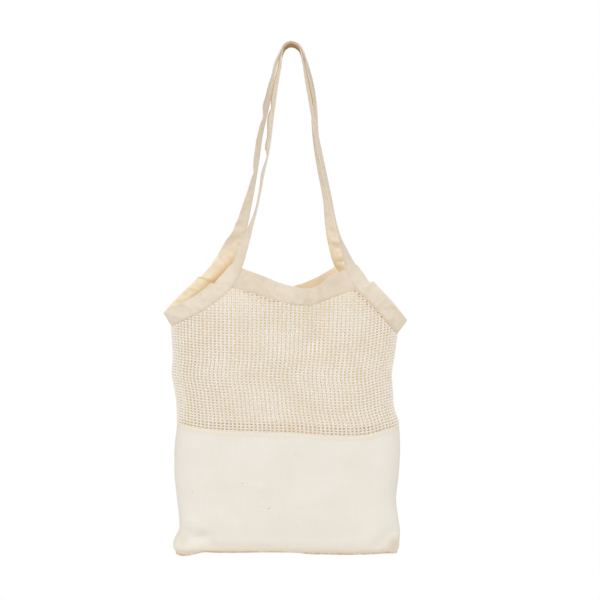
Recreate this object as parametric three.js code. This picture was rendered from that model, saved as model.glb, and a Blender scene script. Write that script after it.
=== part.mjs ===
// A cotton tote bag that hangs by its two long handles.
// The lower half is plain canvas and the upper half is open net. The mouth has a doubled hem, and
// the handles are strips that also bind the sloping edges of the net.
// Millimetres. +Z is up, -Y is the front, and the origin is where the handles hang.

import * as THREE from "three";

// Thickness of the cloths
const CANVAS_WALL = 1.2;
const NET_WALL = 1.6;
const BAND_WALL = 2;

// Strips of the handles, and the slit between two pieces that are sewn together
const STRIP_WIDTH = 26;
const SEWN_SLIT = 0.3;
const MOUTH_SLIT = 0.6;
const STRIP_SLIT = 0.9;
const STRIP_LIFT = BAND_WALL / 2 + SEWN_SLIT / 2;

// Net: how many gaps each panel has, and the share of a pitch that is thread
const NET_GAPS_ACROSS = 12;
const NET_GAPS_UP = 5;
const NET_THREAD_SHARE = 0.3;

// How finely the surfaces are divided
const CANVAS_COLUMNS = 28;
const CANVAS_ROWS = 12;
const HEM_COLUMNS = 18;
const HEM_ROWS = 3;
const STRIP_STEPS_PER_ROW = 3;
const STRIP_COLUMNS = 4;

const FRONT = -1;
const BACK = 1;

// Level sections of the bag, from the base up: the two sides, how far the front and the back stand
// out from the middle plane, and the power of the curve between them. A power of 2 is an ellipse, a
// higher one is squarer and a lower one comes to a point at the side seams.
const BODY_SECTIONS = [
  { z: -752, left: -167, right: 157.5, front: 43, back: 43, power: 11 },
  { z: -747, left: -170, right: 159.8, front: 48, back: 48, power: 9 },
  { z: -738, left: -170.5, right: 161, front: 51, back: 51, power: 7 },
  { z: -724, left: -163.8, right: 162.5, front: 53, back: 53, power: 5 },
  { z: -710, left: -163.5, right: 160.8, front: 55, back: 55, power: 4.2 },
  { z: -680, left: -167.2, right: 157.6, front: 57, back: 57, power: 3.5 },
  { z: -640, left: -171.6, right: 162, front: 59, back: 59, power: 3 },
  { z: -600, left: -171.4, right: 164, front: 60, back: 60, power: 2.7 },
  { z: -565, left: -168, right: 161.3, front: 59, back: 59, power: 2.5 },
  { z: -545, left: -168.3, right: 155, front: 57, back: 57, power: 2.4 },
  { z: -518, left: -171.5, right: 153, front: 54.7, back: 54.7, power: 2.25 },
  { z: -495, left: -176, right: 151.3, front: 53, back: 53, power: 2.1 },
  { z: -470, left: -174.8, right: 155.3, front: 51, back: 51, power: 1.9 },
  { z: -430, left: -177, right: 160.5, front: 48, back: 48, power: 1.6 },
  { z: -390, left: -178, right: 163, front: 46, back: 46, power: 1.5 },
  { z: -320, left: -178, right: 164, front: 44, back: 44, power: 1.5 },
];

// Seam between the canvas and the net, and the edge of the base: the height of each by the place across
// the bag, from -1 at the left side seam to 1 at the right one.
const SEAM_LINE = [
  { across: -1, z: -565.5 },
  { across: -0.72, z: -571 },
  { across: -0.45, z: -572.8 },
  { across: 0.05, z: -575.2 },
  { across: 0.35, z: -579 },
  { across: 0.7, z: -579 },
  { across: 0.87, z: -573 },
  { across: 1, z: -569.5 },
];
const BASE_LINE = [
  { across: -1, z: -754.8 },
  { across: -0.94, z: -756.2 },
  { across: -0.85, z: -754.6 },
  { across: -0.73, z: -749.9 },
  { across: -0.64, z: -750.5 },
  { across: 0.06, z: -750.6 },
  { across: 0.22, z: -753.4 },
  { across: 0.32, z: -753.6 },
  { across: 0.6, z: -754.2 },
  { across: 0.78, z: -753.2 },
  { across: 0.9, z: -753.2 },
  { across: 0.96, z: -754 },
  { across: 1, z: -754 },
];

// Folds of the cloth: a line over the panel between two places, each x and z, how far the fold
// reaches to each side of it, and how far it stands out. A negative height is a dent.
const FOLDS = [
  { name: "crease of the front hem", side: FRONT, from: [31, -360], to: [38, -440], reach: 22, height: -11 },
  { name: "dent of the front net", side: FRONT, from: [36, -430], to: [30, -545], reach: 45, height: -6 },
  { name: "dent of the back hem", side: BACK, from: [-11, -360], to: [-16, -470], reach: 38, height: -9 },
  { name: "roll at left corner", side: FRONT, from: [-150, -726], to: [-118, -733], reach: 16, height: -5 },
  { name: "dart at right corner", side: FRONT, from: [150, -724], to: [128, -738], reach: 15, height: -4 },
];
const FOLD_SHARPNESS = 2;

// Strips, from the left side seam over the hook to the right side seam. Each row is a place on the
// edge that is sewn below and runs free above. Lean is the way across the strip in the front view,
// in degrees from +X towards +Z, turn is how far it swings to the middle plane, and cup is how far
// the strip is rolled into a gutter. A row without y lies on the bag.
const STRIP_FRONT = [
  { at: "left seam", x: -177.8, z: -423, lean: 122, turn: 0, cup: 0 },
  { at: "left band", x: -132, z: -401.6, lean: 121, turn: 8, cup: 0 },
  { at: "left crease", x: -103.4, z: -382.5, lean: 126, turn: 10, cup: 0 },
  { at: "left hem foot", x: -85.5, z: -365.8, lean: 138, turn: 18, cup: 0 },
  { at: "left hem head", x: -70, z: -337.5, lean: 162, turn: 48, cup: 0 },
  { at: "left leg", x: -62.6, y: -38.5, z: -314.4, lean: 166, turn: 54, cup: 6 },
  { at: "left leg", x: -55.4, y: -39, z: -285.3, lean: 168, turn: 67, cup: 12 },
  { at: "left leg", x: -46, y: -39, z: -246, lean: 168, turn: 82, cup: 16 },
  { at: "left leg", x: -37.5, y: -37.5, z: -200, lean: 170, turn: 80, cup: 20 },
  { at: "left leg", x: -29.5, y: -35.5, z: -158, lean: 172, turn: 82, cup: 20 },
  { at: "left leg", x: -24.3, y: -32.5, z: -112, lean: 172, turn: 73, cup: 20 },
  { at: "left leg", x: -18.5, y: -28, z: -70, lean: 170, turn: 74, cup: 20 },
  { at: "left leg", x: -13, y: -21, z: -36, lean: 168, turn: 80, cup: 18 },
  { at: "arch", x: -11.3, y: -13, z: -14.8, lean: 150, turn: 90, cup: 16 },
  { at: "arch", x: -6.6, y: -13, z: -5.8, lean: 120, turn: 90, cup: 16 },
  { at: "arch", x: 1.3, y: -13, z: -2, lean: 90, turn: 90, cup: 16 },
  { at: "arch", x: 9.6, y: -13, z: -4.8, lean: 60, turn: 90, cup: 16 },
  { at: "arch", x: 15.5, y: -13, z: -12, lean: 30, turn: 90, cup: 16 },
  { at: "right leg", x: 18.5, y: -20, z: -34, lean: 12, turn: 79, cup: 18 },
  { at: "right leg", x: 23.5, y: -27, z: -64, lean: 10, turn: 73, cup: 20 },
  { at: "right leg", x: 31, y: -32, z: -104, lean: 8, turn: 76, cup: 20 },
  { at: "right leg", x: 38, y: -35, z: -145, lean: 8, turn: 77, cup: 20 },
  { at: "right leg", x: 45.5, y: -37, z: -186, lean: 10, turn: 76, cup: 20 },
  { at: "right leg", x: 55.5, y: -38.5, z: -230, lean: 14, turn: 78, cup: 16 },
  { at: "right leg", x: 66.5, y: -39, z: -273, lean: 18, turn: 84, cup: 10 },
  { at: "right leg", x: 74, y: -38, z: -308.5, lean: 18, turn: 70, cup: 5 },
  { at: "right hem head", x: 82.6, z: -339, lean: 20, turn: 44, cup: 0 },
  { at: "right hem foot", x: 98.1, z: -368, lean: 40, turn: 26, cup: 0 },
  { at: "right crease", x: 115.5, z: -385, lean: 45, turn: 14, cup: 0 },
  { at: "right band", x: 132, z: -403.5, lean: 47, turn: 0, cup: 0 },
  { at: "right seam", x: 160.5, z: -435, lean: 53, turn: 0, cup: 0 },
];
const STRIP_BACK = [
  { at: "left seam", x: -177.8, z: -423, lean: 122, turn: 0, cup: 0 },
  { at: "left band", x: -145, z: -390, lean: 137, turn: 6, cup: 0 },
  { at: "left crease", x: -125, z: -371, lean: 136, turn: 10, cup: 0 },
  { at: "left hem foot", x: -106, z: -352, lean: 140, turn: 8, cup: 0 },
  { at: "left hem head", x: -90, z: -329, lean: 146, turn: 8, cup: 0 },
  { at: "left leg", x: -79, y: 37, z: -306, lean: 154, turn: 26, cup: 5 },
  { at: "left leg", x: -68, y: 39, z: -279, lean: 164, turn: 48, cup: 8 },
  { at: "left leg", x: -60.5, y: 39, z: -242, lean: 168, turn: 63, cup: 12 },
  { at: "left leg", x: -54, y: 38, z: -205, lean: 170, turn: 76, cup: 16 },
  { at: "left leg", x: -49, y: 36, z: -168, lean: 170, turn: 78, cup: 18 },
  { at: "left leg", x: -42.8, y: 33.5, z: -128, lean: 170, turn: 79, cup: 20 },
  { at: "left leg", x: -32, y: 28.5, z: -84, lean: 168, turn: 74, cup: 20 },
  { at: "left leg", x: -21.5, y: 21, z: -37, lean: 168, turn: 82, cup: 18 },
  { at: "arch", x: -13.9, y: 13, z: -13.8, lean: 150, turn: 90, cup: 16 },
  { at: "arch", x: -8.7, y: 13, z: -3.9, lean: 120, turn: 90, cup: 16 },
  { at: "arch", x: 1, y: 13, z: 0.8, lean: 90, turn: 90, cup: 16 },
  { at: "arch", x: 11.3, y: 13, z: -2.5, lean: 60, turn: 90, cup: 16 },
  { at: "arch", x: 18, y: 13, z: -10.6, lean: 30, turn: 90, cup: 16 },
  { at: "right leg", x: 24, y: 20, z: -34, lean: 12, turn: 82, cup: 18 },
  { at: "right leg", x: 30.5, y: 27.5, z: -64, lean: 10, turn: 78, cup: 20 },
  { at: "right leg", x: 32, y: 31, z: -98, lean: 10, turn: 74, cup: 20 },
  { at: "right leg", x: 35, y: 34.5, z: -140, lean: 10, turn: 72, cup: 20 },
  { at: "right leg", x: 41.5, y: 37, z: -182, lean: 10, turn: 70, cup: 20 },
  { at: "right leg", x: 50.5, y: 38.5, z: -230, lean: 12, turn: 64, cup: 18 },
  { at: "right leg", x: 54, y: 39, z: -272, lean: 14, turn: 52, cup: 12 },
  { at: "right leg", x: 60, y: 39, z: -306, lean: 16, turn: 40, cup: 5 },
  { at: "right hem head", x: 68.4, z: -333, lean: 22, turn: 26, cup: 0 },
  { at: "right hem foot", x: 83, z: -359, lean: 38, turn: 18, cup: 0 },
  { at: "right crease", x: 106, z: -383, lean: 44, turn: 14, cup: 0 },
  { at: "right band", x: 131, z: -407, lean: 47, turn: 6, cup: 0 },
  { at: "right seam", x: 160.5, z: -435, lean: 53, turn: 0, cup: 0 },
];

// Hems between the strips: places along the lower edge and along the upper edge
const HEM_FRONT = [
  { lowX: -50.4, lowZ: -375.3, topX: -40.2, topZ: -348.4 },
  { lowX: -6.8, lowZ: -388.4, topX: -6.8, topZ: -361.5 },
  { lowX: 31, lowZ: -392, topX: 31, topZ: -366.6 },
  { lowX: 65.8, lowZ: -379.6, topX: 58.6, topZ: -349.9 },
];
const HEM_BACK = [
  { lowX: -62, lowZ: -378, topX: -54, topZ: -352 },
  { lowX: -13, lowZ: -391, topX: -12, topZ: -365 },
  { lowX: 38, lowZ: -379, topX: 32, topZ: -353 },
];

const radians = THREE.MathUtils.degToRad;
const lerp = THREE.MathUtils.lerp;
const clamp = THREE.MathUtils.clamp;

// A smooth reading of some columns of a table, by the values of one rising column.
function reader(positions, rows, columns) {
  const samples = rows.flatMap((row) => columns.map((column) => row[column]));
  const curve = new THREE.CubicInterpolant(positions, samples, columns.length);
  return (position) => Array.from(curve.evaluate(position));
}

const readSection = reader(
  BODY_SECTIONS.map((row) => row.z),
  BODY_SECTIONS,
  ["left", "right", "front", "back", "power"],
);

// How far a fold moves the cloth at a place on the panel.
function foldHeight(side, x, z) {
  let height = 0;
  for (const fold of FOLDS.filter((row) => row.side === side)) {
    const start = new THREE.Vector2(...fold.from);
    const run = new THREE.Vector2(...fold.to).sub(start);
    const place = new THREE.Vector2(x, z).sub(start);
    const along = clamp(place.dot(run) / run.lengthSq(), 0, 1);
    const off = place.sub(run.multiplyScalar(along)).length() / fold.reach;
    height += fold.height * Math.exp(-FOLD_SHARPNESS * off * off);
  }
  return height;
}

// A place on the bag's surface: across runs from -1 at the left side seam to 1 at the right one.
function bodyPoint(side, across, z) {
  const [left, right, front, back, power] = readSection(z);
  const x = lerp(left, right, (across + 1) / 2);
  const bow = Math.pow(1 - Math.pow(Math.min(Math.abs(across), 1), power), 1 / power);
  const out = (side === FRONT ? front : back) + foldHeight(side, x, z);
  return new THREE.Vector3(x, side * out * bow, z);
}

function acrossAt(x, z) {
  const [left, right] = readSection(z);
  return clamp((2 * (x - left)) / (right - left) - 1, -1, 1);
}

// Places across a panel that are evenly spaced along the cloth.
const SPACING_SAMPLES = 400;
const SPACING_LEVEL = -600;
const spacing = [{ across: -1, length: 0 }];
for (let i = 1; i <= SPACING_SAMPLES; i += 1) {
  const across = -Math.cos((Math.PI * i) / SPACING_SAMPLES);
  const last = spacing[i - 1];
  const step = bodyPoint(BACK, across, SPACING_LEVEL).distanceTo(bodyPoint(BACK, last.across, SPACING_LEVEL));
  spacing.push({ across, length: last.length + step });
}
const readAcross = new THREE.LinearInterpolant(
  spacing.map((row) => row.length / spacing[SPACING_SAMPLES].length),
  spacing.map((row) => row.across),
  1,
);
const evenly = (share) => readAcross.evaluate(share)[0];

const readHeight = (line) => reader(line.map((row) => row.across), line, ["z"]);
const readSeam = readHeight(SEAM_LINE);
const readBase = readHeight(BASE_LINE);
const seamZ = (across) => readSeam(across)[0];
const baseZ = (across) => readBase(across)[0];

// A strip's edge as a curve, with the row numbers where it stops being sewn to the bag.
function stripOf(side, rows) {
  const points = rows.map((row) =>
    row.y === undefined
      ? bodyPoint(side, acrossAt(row.x, row.z), row.z)
      : new THREE.Vector3(row.x, row.y, row.z),
  );
  const last = rows.length - 1;
  const edge = new THREE.CatmullRomCurve3(points, false, "catmullrom");
  const number = (name) => rows.findIndex((row) => row.at === name);
  return {
    side,
    rows: last,
    edge,
    readSwing: reader(
      rows.map((row, i) => i),
      rows,
      ["lean", "turn", "cup"],
    ),
    leftFoot: number("left hem foot"),
    leftHead: number("left hem head"),
    rightHead: number("right hem head"),
    rightFoot: number("right hem foot"),
  };
}

// A place on the strip's sewn edge, by row number. Below the hem's head it lies on the bag.
function edgePoint(strip, row) {
  const point = strip.edge.getPoint(clamp(row / strip.rows, 0, 1));
  if (row <= strip.leftHead || row >= strip.rightHead) {
    point.copy(bodyPoint(strip.side, acrossAt(point.x, point.z), point.z));
    point.y += strip.side * STRIP_LIFT;
  }
  return point;
}

// A place on the strip: share runs from the sewn edge to the free one.
const FLAT_CUP = 0.01;
function stripPoint(strip, row, share) {
  const [lean, turn, cup] = strip.readSwing(row).map(radians);
  const tangent = strip.edge.getTangent(clamp(row / strip.rows, 0, 1));
  const across = new THREE.Vector3(
    Math.cos(turn) * Math.cos(lean),
    -strip.side * Math.sin(turn),
    Math.cos(turn) * Math.sin(lean),
  );
  const out = new THREE.Vector3().crossVectors(tangent, across).setLength(-strip.side);
  const half = Math.max(cup, FLAT_CUP) / 2;
  const radius = STRIP_WIDTH / (2 * half);
  const angle = lerp(-half, half, share);
  return edgePoint(strip, row)
    .addScaledVector(across, radius * (Math.sin(half) + Math.sin(angle)))
    .addScaledVector(out, radius * (Math.cos(angle) - Math.cos(half)));
}

// A hem is a patch between the two strips and its own lower and upper edges.
function hemOf(strip, table) {
  const foot = [strip.leftFoot, strip.rightFoot].map((row) => edgePoint(strip, row));
  const head = [strip.leftHead, strip.rightHead].map((row) => edgePoint(strip, row));
  const low = table.map((row) => new THREE.Vector3(row.lowX, 0, row.lowZ));
  const top = table.map((row) => new THREE.Vector3(row.topX, 0, row.topZ));
  return {
    strip,
    foot,
    head,
    low: new THREE.CatmullRomCurve3([foot[0], ...low, foot[1]], false, "catmullrom"),
    top: new THREE.CatmullRomCurve3([head[0], ...top, head[1]], false, "catmullrom"),
  };
}

function hemPoint(hem, share, up) {
  const { strip, foot, head, low, top } = hem;
  const left = edgePoint(strip, lerp(strip.leftFoot, strip.leftHead, up));
  const right = edgePoint(strip, lerp(strip.rightFoot, strip.rightHead, up));
  const place = new THREE.Vector3()
    .addScaledVector(left, 1 - share)
    .addScaledVector(right, share)
    .addScaledVector(low.getPoint(share), 1 - up)
    .addScaledVector(top.getPoint(share), up)
    .addScaledVector(foot[0], -(1 - share) * (1 - up))
    .addScaledVector(foot[1], -share * (1 - up))
    .addScaledVector(head[0], -(1 - share) * up)
    .addScaledVector(head[1], -share * up);
  return bodyPoint(strip.side, acrossAt(place.x, place.z), place.z);
}

// The net's upper edge: its height by the place across, along one strip, the hem and the strip again.
const MOUTH_SAMPLES = 40;
function mouthReader(strip, hem) {
  const places = [];
  for (let i = 0; i <= MOUTH_SAMPLES; i += 1) {
    places.push(edgePoint(strip, lerp(0, strip.leftFoot, i / MOUTH_SAMPLES)));
  }
  for (let i = 1; i < MOUTH_SAMPLES; i += 1) {
    places.push(hem.low.getPoint(i / MOUTH_SAMPLES));
  }
  for (let i = 0; i <= MOUTH_SAMPLES; i += 1) {
    places.push(edgePoint(strip, lerp(strip.rightFoot, strip.rows, i / MOUTH_SAMPLES)));
  }
  const curve = new THREE.LinearInterpolant(
    places.map((place) => acrossAt(place.x, place.z)),
    places.map((place) => place.z),
    1,
  );
  return (across) => curve.evaluate(across)[0];
}

// A grid of places as four-sided cells, without those that are left out.
function cellsOf(columns, rows, place, leftOut = () => false) {
  const grid = columns.map((column) => rows.map((row) => place(column, row)));
  const cells = [];
  for (let i = 0; i + 1 < columns.length; i += 1) {
    for (let j = 0; j + 1 < rows.length; j += 1) {
      if (!leftOut(i, j)) {
        cells.push([grid[i][j], grid[i + 1][j], grid[i + 1][j + 1], grid[i][j + 1]]);
      }
    }
  }
  return cells;
}

const steps = (count, from = 0, to = 1) =>
  Array.from({ length: count + 1 }, (unused, i) => lerp(from, to, i / count));

// Cloth of one thickness over a set of cells. Cells that share a place are one cloth there, and an
// edge of only one cell gets a rim.
const WELD = 1e-3;
function thicken(cells, wall) {
  const numbers = new Map();
  const places = [];
  const normals = [];
  const numberOf = (place) => {
    const key = place.toArray().map((value) => Math.round(value / WELD)).join();
    if (!numbers.has(key)) {
      numbers.set(key, places.length);
      places.push(place);
      normals.push(new THREE.Vector3());
    }
    return numbers.get(key);
  };
  const faces = cells.map((cell) => [...new Set(cell.map(numberOf))]);
  const triangles = [];
  for (const face of faces) {
    for (let i = 1; i + 1 < face.length; i += 1) {
      triangles.push([face[0], face[i], face[i + 1]]);
    }
  }
  for (const [a, b, c] of triangles) {
    const normal = places[b].clone().sub(places[a]).cross(places[c].clone().sub(places[a]));
    [a, b, c].forEach((corner) => normals[corner].add(normal));
  }
  const edges = new Map();
  for (const face of faces) {
    face.forEach((corner, i) => {
      const next = face[(i + 1) % face.length];
      const back = `${next},${corner}`;
      if (edges.has(back)) {
        edges.delete(back);
      } else {
        edges.set(`${corner},${next}`, [corner, next]);
      }
    });
  }
  const count = places.length;
  const outer = places.map((place, i) => place.clone().addScaledVector(normals[i].normalize(), wall / 2));
  const inner = places.map((place, i) => place.clone().addScaledVector(normals[i], -wall / 2));
  const index = [];
  for (const [a, b, c] of triangles) {
    index.push(a, b, c, count + a, count + c, count + b);
  }
  for (const [a, b] of edges.values()) {
    index.push(a, count + a, b, b, count + a, count + b);
  }
  const geometry = new THREE.BufferGeometry().setFromPoints([...outer, ...inner]);
  geometry.setIndex(index);
  geometry.computeVertexNormals();
  return geometry;
}

// The order of the corners that makes a panel's cells face out of the bag.
const facing = (side, cells) => (side === FRONT ? cells : cells.map((cell) => cell.toReversed()));

// Canvas: both walls and the flat base, closed along the side seams and the base's middle line.
const BASE_SHARES = [0, 0.5];
const WALL_CURVE = 1.5;
function canvasCells() {
  const rows = [...BASE_SHARES, ...steps(CANVAS_ROWS, 1, 2)];
  const columns = steps(CANVAS_COLUMNS).map(evenly);
  return [FRONT, BACK].flatMap((side) =>
    facing(
      side,
      cellsOf(columns, rows, (across, row) => {
        const up = Math.pow(Math.max(row - 1, 0), WALL_CURVE);
        const place = bodyPoint(side, across, lerp(baseZ(across), seamZ(across) - SEWN_SLIT / 2, up));
        place.y *= Math.min(row, 1);
        return place;
      }),
    ),
  );
}

// Net: threads both ways around the gaps. Each gap is divided into parts, so that it bends.
const GAP_PARTS_ACROSS = 2;
const GAP_PARTS_UP = 1;
function threadEdges(gaps, parts) {
  const half = NET_THREAD_SHARE / 2;
  const edges = [0];
  for (let i = 0; i < gaps; i += 1) {
    edges.push(...steps(parts, (i + half) / gaps, (i + 1 - half) / gaps));
  }
  return [...edges, 1];
}

function netCells(strip, hem) {
  const mouthZ = mouthReader(strip, hem);
  const columns = threadEdges(NET_GAPS_ACROSS, GAP_PARTS_ACROSS).map(evenly);
  const rows = threadEdges(NET_GAPS_UP, GAP_PARTS_UP);
  const place = (across, up) => {
    const bottom = seamZ(across) + SEWN_SLIT / 2;
    const top = mouthZ(across) - MOUTH_SLIT;
    const point = bodyPoint(strip.side, across, lerp(bottom, top, up));
    point.y += strip.side * SEWN_SLIT;
    return point;
  };
  const isGap = (i, j) => i % (GAP_PARTS_ACROSS + 1) > 0 && j % (GAP_PARTS_UP + 1) > 0;
  return facing(strip.side, cellsOf(columns, rows, place, isGap));
}

function hemCells(hem) {
  const inset = SEWN_SLIT / STRIP_WIDTH;
  const endInset = STRIP_SLIT / (hem.foot[1].x - hem.foot[0].x);
  const columns = steps(HEM_COLUMNS, endInset, 1 - endInset);
  const rows = steps(HEM_ROWS, inset, 1);
  return facing(
    hem.strip.side,
    cellsOf(columns, rows, (share, up) => hemPoint(hem, share, up)),
  );
}

const SEAM_END = 0.004;
function stripCells(strip) {
  const columns = steps(strip.rows * STRIP_STEPS_PER_ROW, SEAM_END, strip.rows - SEAM_END);
  const rows = steps(STRIP_COLUMNS, STRIP_SLIT / STRIP_WIDTH, 1);
  return facing(
    strip.side,
    cellsOf(columns, rows, (row, share) => stripPoint(strip, row, share)),
  );
}

const COLOURS = { canvas: "#ece6db", net: "#e8e0d0", band: "#e0d4bf" };
function node(name, cells, wall, colour) {
  const material = new THREE.MeshStandardMaterial({ color: colour, roughness: 0.9 });
  const mesh = new THREE.Mesh(thicken(cells, wall), material);
  mesh.name = name;
  return mesh;
}

const stripFront = stripOf(FRONT, STRIP_FRONT);
const stripBack = stripOf(BACK, STRIP_BACK);
const hemFront = hemOf(stripFront, HEM_FRONT);
const hemBack = hemOf(stripBack, HEM_BACK);

const bag = new THREE.Group();
bag.name = "tote_bag";
bag.add(
  node("canvas_body", canvasCells(), CANVAS_WALL, COLOURS.canvas),
  node("net_front", netCells(stripFront, hemFront), NET_WALL, COLOURS.net),
  node("net_back", netCells(stripBack, hemBack), NET_WALL, COLOURS.net),
  node("hem_front", hemCells(hemFront), BAND_WALL, COLOURS.band),
  node("hem_back", hemCells(hemBack), BAND_WALL, COLOURS.band),
  node("strap_front", stripCells(stripFront), BAND_WALL, COLOURS.band),
  node("strap_back", stripCells(stripBack), BAND_WALL, COLOURS.band),
);

export default bag;
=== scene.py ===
# %% [markdown]
# # A cotton tote bag with a net top
# The bag hangs by two long handles. Its lower half is plain canvas, its upper half is open net, and
# doubled cotton bands finish the mouth and run on as the handles. The CAD part already has the true
# outline, so this lesson keeps its places and adds what a coarse solid can't show: the real net,
# rounded folds, stitches and the finish of each cloth.

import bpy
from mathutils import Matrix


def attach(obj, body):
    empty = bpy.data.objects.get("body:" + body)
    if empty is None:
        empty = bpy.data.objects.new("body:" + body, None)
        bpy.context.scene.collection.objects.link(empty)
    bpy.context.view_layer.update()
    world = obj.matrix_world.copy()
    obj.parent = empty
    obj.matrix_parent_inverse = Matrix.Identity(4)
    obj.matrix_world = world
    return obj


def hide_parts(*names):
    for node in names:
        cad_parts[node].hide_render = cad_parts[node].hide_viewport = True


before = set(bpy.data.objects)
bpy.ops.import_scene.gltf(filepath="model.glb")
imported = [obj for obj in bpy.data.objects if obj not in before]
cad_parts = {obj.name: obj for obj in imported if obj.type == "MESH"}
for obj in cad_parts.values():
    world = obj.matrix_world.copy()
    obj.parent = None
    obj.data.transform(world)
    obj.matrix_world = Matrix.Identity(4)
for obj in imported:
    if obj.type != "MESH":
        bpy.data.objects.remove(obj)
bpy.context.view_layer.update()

# %% Other modules, and the unit of the tables
import math
from functools import partial
from types import SimpleNamespace

import bmesh
import bpy
import numpy as np
from mathutils import Vector, noise

MM = 0.001
FRONT, BACK = -1, 1
SIDES = {FRONT: "front", BACK: "back"}
print("nodes to dress:", sorted(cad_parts))

# %% [markdown]
# ## The shape of the bag
# A hanging bag is a stack of level sections: boxy at its base, pinched at the side seams near the
# mouth. It could be sculpted by hand, but then the net, the hems and the bands would each need
# fitting. A table of sections read by a smooth curve gives one wall that every piece lies on. The
# rows repeat those of the CAD source, in millimetres.

# %% A smooth reading of a table
def smooth_reader(keys, values):
    """Reads a table between its rows, on a curve that passes through every row."""
    keys, values = np.asarray(keys, float), np.asarray(values, float)
    secants = np.diff(values, axis=0) / np.diff(keys)[:, None]
    slopes = np.concatenate([secants[:1], (secants[1:] + secants[:-1]) / 2, secants[-1:]])

    def read(at):
        at = np.clip(at, keys[0], keys[-1])
        i = np.clip(np.searchsorted(keys, at, "right") - 1, 0, len(keys) - 2)
        gap = (keys[i + 1] - keys[i])[..., None]
        p = (at - keys[i])[..., None] / gap
        level = values[i] * (1 + 2 * p) * (1 - p) ** 2 + values[i + 1] * p * p * (3 - 2 * p)
        return level + gap * p * (1 - p) * (slopes[i] * (1 - p) - slopes[i + 1] * p)

    return read


def line_reader(table):
    """Reads one value, such as a height, by the place across."""
    read = smooth_reader([at for at, _ in table], [[value] for _, value in table])
    return lambda at: read(np.asarray(at, float))[..., 0]


print("half-way from 1 to 4:", line_reader([(0, 0), (1, 1), (2, 4)])(1.5))

# %% Level sections, from the base up
# height, left side, right side, reach to the front, reach to the back, power of the curve
BODY_SECTIONS = np.array([
    (-752, -167, 157.5, 43, 43, 11),
    (-747, -170, 159.8, 48, 48, 9),
    (-738, -170.5, 161, 51, 51, 7),
    (-724, -163.8, 162.5, 53, 53, 5),
    (-710, -163.5, 160.8, 55, 55, 4.2),
    (-680, -167.2, 157.6, 57, 57, 3.5),
    (-640, -171.6, 162, 59, 59, 3),
    (-600, -171.4, 164, 60, 60, 2.7),
    (-565, -168, 161.3, 59, 59, 2.5),
    (-545, -168.3, 155, 57, 57, 2.4),
    (-518, -171.5, 153, 54.7, 54.7, 2.25),
    (-495, -176, 151.3, 53, 53, 2.1),
    (-470, -174.8, 155.3, 51, 51, 1.9),
    (-430, -177, 160.5, 48, 48, 1.6),
    (-390, -178, 163, 46, 46, 1.5),
    (-320, -178, 164, 44, 44, 1.5),
])
read_section = smooth_reader(BODY_SECTIONS[:, 0], BODY_SECTIONS[:, 1:])
print(len(BODY_SECTIONS), "sections from", BODY_SECTIONS[0, 0], "to", BODY_SECTIONS[-1, 0], "mm")

# %% Large folds of the cloth
# side, start x and z, end x and z, reach to each side, height; a negative height is a dent
FOLDS = [
    (FRONT, 31, -360, 38, -440, 22, -11),
    (FRONT, 36, -430, 30, -545, 45, -6),
    (BACK, -11, -360, -16, -470, 38, -9),
    (FRONT, -150, -726, -118, -733, 16, -5),
    (FRONT, 150, -724, 128, -738, 15, -4),
]


def fold_height(folds, side, x, z):
    height = np.zeros(np.shape(x))
    for fold_side, x0, z0, x1, z1, reach, out in folds:
        if fold_side == side:
            run = np.array([x1 - x0, z1 - z0])
            along = np.clip(((x - x0) * run[0] + (z - z0) * run[1]) / (run @ run), 0, 1)
            off = np.hypot(x - x0 - along * run[0], z - z0 - along * run[1]) / reach
            height = height + out * np.exp(-2 * off * off)
    return height


print(len(FOLDS), "large folds, the deepest", min(fold[-1] for fold in FOLDS), "mm")

# %% The wall of the bag
def wall_place(side, across, z):
    """Places on the wall: across runs from -1 at the left side seam to 1 at the right one."""
    across, z = np.broadcast_arrays(np.asarray(across, float), np.asarray(z, float))
    left, right, front, back, power = np.moveaxis(read_section(z), -1, 0)
    x = left + (right - left) * (across + 1) / 2
    bow = (1 - np.minimum(np.abs(across), 1) ** power) ** (1 / power)
    reach = (front if side == FRONT else back) + fold_height(FOLDS, side, x, z)
    return np.stack([x, side * reach * bow, z], -1)


def across_at(x, z):
    left, right = np.moveaxis(read_section(z)[..., :2], -1, 0)
    return np.clip(2 * (x - left) / (right - left) - 1, -1, 1)


print(f"the bag is {np.ptp([wall_place(side, 0, -600)[1] for side in SIDES]):.0f} mm deep at its widest")

# %% Even spacing around the wall, and the seam between canvas and net
def gone_along(line):
    """The way gone along a line, at each of its places."""
    return np.concatenate([[0], np.cumsum(np.linalg.norm(np.diff(line, axis=0), axis=1))])


SPACING_Z, SPACING_SAMPLES = -600, 401
turns = -np.cos(np.linspace(0, np.pi, SPACING_SAMPLES))
lengths = gone_along(wall_place(BACK, turns, SPACING_Z))
PANEL_WIDTH = lengths[-1]
# place across, height
seam_z = line_reader([(-1, -565.5), (-0.72, -571), (-0.45, -572.8), (0.05, -575.2), (0.35, -579),
                      (0.7, -579), (0.87, -573), (1, -569.5)])


def evenly(share):
    """The place across for a share of the way along the cloth, from seam to seam."""
    return np.interp(share, lengths / PANEL_WIDTH, turns)


print(f"one panel of the bag is {PANEL_WIDTH:.0f} mm wide along the cloth")

# %% [markdown]
# ## The strips and the hems
# Each handle is one long doubled strip. Its ends bind the sloping edges of the net and its middle
# is the handle. A curve object with a flat bevel would twist by itself at the top of the arch, so
# the strip is written as rows instead: a place on the sewn edge, the way across it and its cup.

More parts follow.
